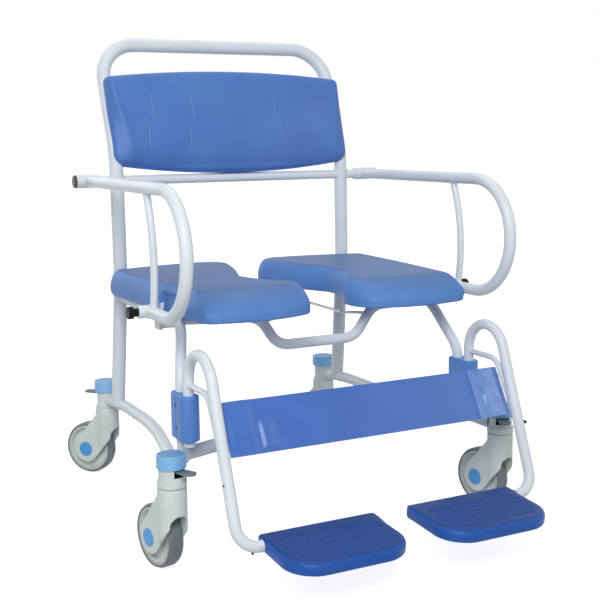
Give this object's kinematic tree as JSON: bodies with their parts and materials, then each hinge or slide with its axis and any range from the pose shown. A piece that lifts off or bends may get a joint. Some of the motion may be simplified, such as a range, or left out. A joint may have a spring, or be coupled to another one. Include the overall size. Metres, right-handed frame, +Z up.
{
  "type": "shower commode chair",
  "caption": "Wide mobile shower commode chair: bent white tube frame on castors, split seat, backrest, flip-up arms, swing-away footrests with footplates and a calf strap.",
  "frame": {"origin": "on the floor, in the middle of the overall box", "axes": "+Z up, the sitter faces -Y, the sitter's left is +X"},
  "size_m": [0.8349, 1.0766, 1.0529],
  "materials": {
    "frame_paint": "satin powder coat",
    "seat_foam": "moulded foam skin",
    "back_foam": "moulded foam skin",
    "strap_vinyl": "coated fabric",
    "plate_plastic": "moulded",
    "block_plastic": "fine texture",
    "cap_plastic": "moulded",
    "hub_plastic": "moulded",
    "castor_plastic": "moulded",
    "tyre_rubber": "moulded tread",
    "lever_plastic": "moulded",
    "knob_plastic": "moulded",
    "plug_plastic": "moulded",
    "screw_steel": "blackened",
    "pin_steel": "turned",
    "rail_chrome": "polished"
  },
  "bodies": {
    "root": {"back_frame": "frame_paint", "arm_pivot_tube": "frame_paint", "pivot_plugs": "plug_plastic", "front_cross_tube": "frame_paint", "seat_front_tube": "frame_paint", "seat_rear_tube": "frame_paint", "pan_rails": "rail_chrome", "castor_sockets": "frame_paint", "castor_necks": "castor_plastic", "castor_caps": "cap_plastic", "block_screws": "screw_steel", "backrest": "back_foam", "side_rail_left": "frame_paint", "front_leg_left": "frame_paint", "arm_receiver_left": "frame_paint", "hinge_block_left": "block_plastic", "seat_pad_left": "seat_foam", "side_rail_right": "frame_paint", "front_leg_right": "frame_paint", "arm_receiver_right": "frame_paint", "hinge_block_right": "block_plastic", "seat_pad_right": "seat_foam"},
    "arm_left": {"arm_tube_left": "frame_paint", "arm_brace_left": "frame_paint", "arm_sleeves_left": "frame_paint"},
    "plunger_left": {"arm_plunger_left": "knob_plastic"},
    "hanger_left": {"hanger_tube_left": "frame_paint", "calf_tube_left": "frame_paint", "footplate_pin_left": "pin_steel"},
    "footplate_left": {"footplate_left": "plate_plastic"},
    "arm_right": {"arm_tube_right": "frame_paint", "arm_brace_right": "frame_paint", "arm_sleeves_right": "frame_paint"},
    "plunger_right": {"arm_plunger_right": "knob_plastic"},
    "hanger_right": {"hanger_tube_right": "frame_paint", "calf_tube_right": "frame_paint", "footplate_pin_right": "pin_steel", "calf_strap": "strap_vinyl"},
    "footplate_right": {"footplate_right": "plate_plastic"},
    "fork_front_left": {"fork_front_left": "castor_plastic", "axle_front_left": "hub_plastic"},
    "wheel_front_left": {"rim_front_left": "castor_plastic", "tyre_front_left": "tyre_rubber"},
    "lever_front_left": {"brake_lever_front_left": "lever_plastic"},
    "fork_front_right": {"fork_front_right": "castor_plastic", "axle_front_right": "hub_plastic"},
    "wheel_front_right": {"rim_front_right": "castor_plastic", "tyre_front_right": "tyre_rubber"},
    "lever_front_right": {"brake_lever_front_right": "lever_plastic"},
    "fork_rear_left": {"fork_rear_left": "castor_plastic", "axle_rear_left": "hub_plastic"},
    "wheel_rear_left": {"rim_rear_left": "castor_plastic", "tyre_rear_left": "tyre_rubber"},
    "lever_rear_left": {"brake_lever_rear_left": "lever_plastic"},
    "fork_rear_right": {"fork_rear_right": "castor_plastic", "axle_rear_right": "hub_plastic"},
    "wheel_rear_right": {"rim_rear_right": "castor_plastic", "tyre_rear_right": "tyre_rubber"},
    "lever_rear_right": {"brake_lever_rear_right": "lever_plastic"}
  },
  "joints": [
    {"name": "arm_flip_left", "type": "hinge", "parent": "root", "child": "arm_left", "pos_m": [0.361, 0.32714, 0.724], "axis": [-1, 0, 0], "range_deg": [0, 100]},
    {"name": "plunger_pull_left", "type": "slide", "parent": "arm_left", "child": "plunger_left", "axis": [1, 0, 0], "range_m": [0, 0.008], "stiffness_N_per_m": 400},
    {"name": "hanger_swing_left", "type": "hinge", "parent": "root", "child": "hanger_left", "pos_m": [0.328, -0.18, 0.28], "axis": [0, 0, 1], "range_deg": [0, 90]},
    {"name": "footplate_flip_left", "type": "hinge", "parent": "hanger_left", "child": "footplate_left", "pos_m": [0.281, -0.40455, 0.097], "axis": [-1, 0, 0], "range_deg": [0, 90]},
    {"name": "arm_flip_right", "type": "hinge", "parent": "root", "child": "arm_right", "pos_m": [-0.361, 0.32714, 0.724], "axis": [-1, 0, 0], "range_deg": [0, 100]},
    {"name": "plunger_pull_right", "type": "slide", "parent": "arm_right", "child": "plunger_right", "axis": [-1, 0, 0], "range_m": [0, 0.008], "stiffness_N_per_m": 400},
    {"name": "hanger_swing_right", "type": "hinge", "parent": "root", "child": "hanger_right", "pos_m": [-0.328, -0.18, 0.28], "axis": [0, 0, -1], "range_deg": [0, 90]},
    {"name": "footplate_flip_right", "type": "hinge", "parent": "hanger_right", "child": "footplate_right", "pos_m": [-0.281, -0.40455, 0.097], "axis": [-1, 0, 0], "range_deg": [0, 90]},
    {"name": "swivel_front_left", "type": "hinge", "parent": "root", "child": "fork_front_left", "pos_m": [0.383, -0.2235, 0.15], "axis": [0, 0, 1], "continuous": true},
    {"name": "roll_front_left", "type": "hinge", "parent": "fork_front_left", "child": "wheel_front_left", "pos_m": [0.37346, -0.17442, 0.0625], "axis": [0.9816, 0.1908, 0], "continuous": true},
    {"name": "brake_front_left", "type": "hinge", "parent": "root", "child": "lever_front_left", "pos_m": [0.383, -0.2235, 0.204], "axis": [0.9063, -0.4226, 0], "range_deg": [0, 15]},
    {"name": "swivel_front_right", "type": "hinge", "parent": "root", "child": "fork_front_right", "pos_m": [-0.383, -0.2235, 0.15], "axis": [0, 0, 1], "continuous": true},
    {"name": "roll_front_right", "type": "hinge", "parent": "fork_front_right", "child": "wheel_front_right", "pos_m": [-0.39254, -0.17442, 0.0625], "axis": [0.9816, 0.1908, 0], "continuous": true},
    {"name": "brake_front_right", "type": "hinge", "parent": "root", "child": "lever_front_right", "pos_m": [-0.383, -0.2235, 0.204], "axis": [0.9063, 0.4226, 0], "range_deg": [0, 15]},
    {"name": "swivel_rear_left", "type": "hinge", "parent": "root", "child": "fork_rear_left", "pos_m": [0.302, 0.4435, 0.15], "axis": [0, 0, 1], "continuous": true},
    {"name": "roll_rear_left", "type": "hinge", "parent": "fork_rear_left", "child": "wheel_rear_left", "pos_m": [0.26986, 0.4818, 0.0625], "axis": [0.766, 0.6428, 0], "continuous": true},
    {"name": "brake_rear_left", "type": "hinge", "parent": "root", "child": "lever_rear_left", "pos_m": [0.302, 0.4435, 0.204], "axis": [-0.7547, 0.6561, 0], "range_deg": [0, 15]},
    {"name": "swivel_rear_right", "type": "hinge", "parent": "root", "child": "fork_rear_right", "pos_m": [-0.302, 0.4435, 0.15], "axis": [0, 0, 1], "continuous": true},
    {"name": "roll_rear_right", "type": "hinge", "parent": "fork_rear_right", "child": "wheel_rear_right", "pos_m": [-0.33414, 0.4818, 0.0625], "axis": [0.766, 0.6428, 0], "continuous": true},
    {"name": "brake_rear_right", "type": "hinge", "parent": "root", "child": "lever_rear_right", "pos_m": [-0.302, 0.4435, 0.204], "axis": [-0.7547, -0.6561, 0], "range_deg": [0, 15]}
  ]
}
